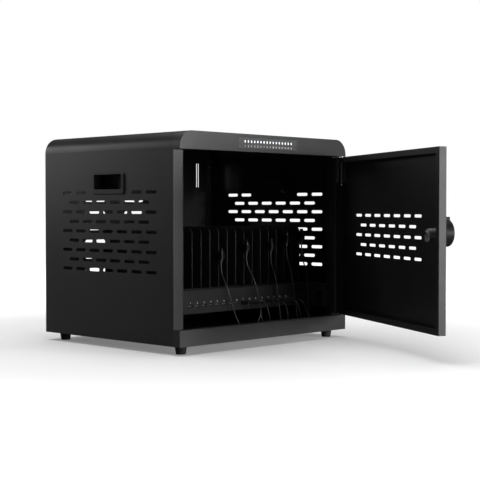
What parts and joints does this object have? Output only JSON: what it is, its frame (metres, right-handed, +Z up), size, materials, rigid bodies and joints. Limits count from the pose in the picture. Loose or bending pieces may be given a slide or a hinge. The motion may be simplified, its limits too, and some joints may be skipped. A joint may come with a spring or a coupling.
{
  "type": "charging cabinet",
  "caption": "Ventilated steel charging cabinet with a hinged locking door, an upright device rack and a USB charging hub with short leads.",
  "frame": {"origin": "centre of the four fixing holes, on the underside of the floor pan", "axes": "+X to the right across the front, +Y to the back, +Z up"},
  "size_m": [0.52, 0.8841, 0.4475],
  "materials": {
    "case_black": "fine textured powder coat",
    "shell_black": "matt powder coat",
    "inner_black": "matt powder coat",
    "door_black": "matt powder coat",
    "moulded_black": "fine moulded grain",
    "switch_plastic": "satin",
    "foot_rubber": "matt",
    "screw_steel": "zinc plated",
    "hinge_steel": "bright",
    "lock_black": "satin",
    "lock_metal": "satin plated",
    "port_plastic": "pale contact tongues in dark sockets",
    "board_green": "solder resist",
    "supply_metal": "plain",
    "lamp_white": "diffusing",
    "ribbon_grey": "flat cable",
    "lead_black": "smooth sheath"
  },
  "bodies": {
    "cabinet": {"back_panel": "shell_black", "back_screws": "screw_steel", "bay_dividers": "moulded_black", "cable_clips": "moulded_black", "feet": "foot_rubber", "floor_pan": "inner_black", "foot_nuts": "screw_steel", "foot_screws": "screw_steel", "header": "case_black", "hub_board": "board_green", "hub_front": "inner_black", "hub_housing": "inner_black", "lamp_board": "board_green", "lamp_lenses": "lamp_white", "lamp_panel": "moulded_black", "lamp_ribbon": "ribbon_grey", "lead_1": "lead_black", "lead_1_head": "lead_black", "lead_1_plug": "lead_black", "lead_2": "lead_black", "lead_2_head": "lead_black", "lead_2_plug": "lead_black", "lead_3": "lead_black", "lead_3_head": "lead_black", "lead_3_plug": "lead_black", "lead_4": "lead_black", "lead_4_head": "lead_black", "lead_4_plug": "lead_black", "lead_5": "lead_black", "lead_5_head": "lead_black", "lead_5_plug": "lead_black", "left_handle": "moulded_black", "left_jamb": "case_black", "left_side_panel": "shell_black", "mains_inlet": "switch_plastic", "pivot_pin": "screw_steel", "pivot_washer": "screw_steel", "power_box": "inner_black", "power_supply": "supply_metal", "rack_tray": "moulded_black", "rear_frame": "inner_black", "right_handle": "moulded_black", "right_jamb": "case_black", "right_side_panel": "shell_black", "shelf": "inner_black", "sill": "case_black", "switch_body": "switch_plastic", "top_panel": "shell_black", "usb_ports": "port_plastic"},
    "door": {"door_pan": "door_black", "hinge_barrel": "hinge_steel", "lock_rose": "lock_black", "lock_barrel": "lock_metal", "lock_nut": "lock_metal"},
    "hinge_pin": {"hinge_pin": "hinge_steel"},
    "knob": {"lock_knob": "lock_black", "lock_cam": "lock_metal", "cam_screw": "screw_steel"},
    "key": {"key_plug": "lock_metal"},
    "rocker": {"power_rocker": "switch_plastic"}
  },
  "joints": [
    {"name": "door_hinge", "type": "hinge", "parent": "cabinet", "child": "door", "pos_m": [0.25, -0.2142, 0.2134], "axis": [0, 0, 1], "range_deg": [-61.4, 108.6]},
    {"name": "pin_pull", "type": "slide", "parent": "door", "child": "hinge_pin", "axis": [0, 0, -1], "range_m": [0, 0.009], "stiffness_N_per_m": 300, "springref_m": -0.005},
    {"name": "lock_turn", "type": "hinge", "parent": "door", "child": "knob", "pos_m": [0.03011, -0.62963, 0.228], "axis": [-0.878, 0.4787, 0], "range_deg": [0, 90]},
    {"name": "key_turn", "type": "hinge", "parent": "knob", "child": "key", "pos_m": [0.03011, -0.62963, 0.228], "axis": [-0.878, 0.4787, 0], "range_deg": [0, 90]},
    {"name": "power_switch", "type": "hinge", "parent": "cabinet", "child": "rocker", "pos_m": [0.225, -0.1713, 0.076], "axis": [0, 1, 0], "range_deg": [-16, 0]}
  ]
}
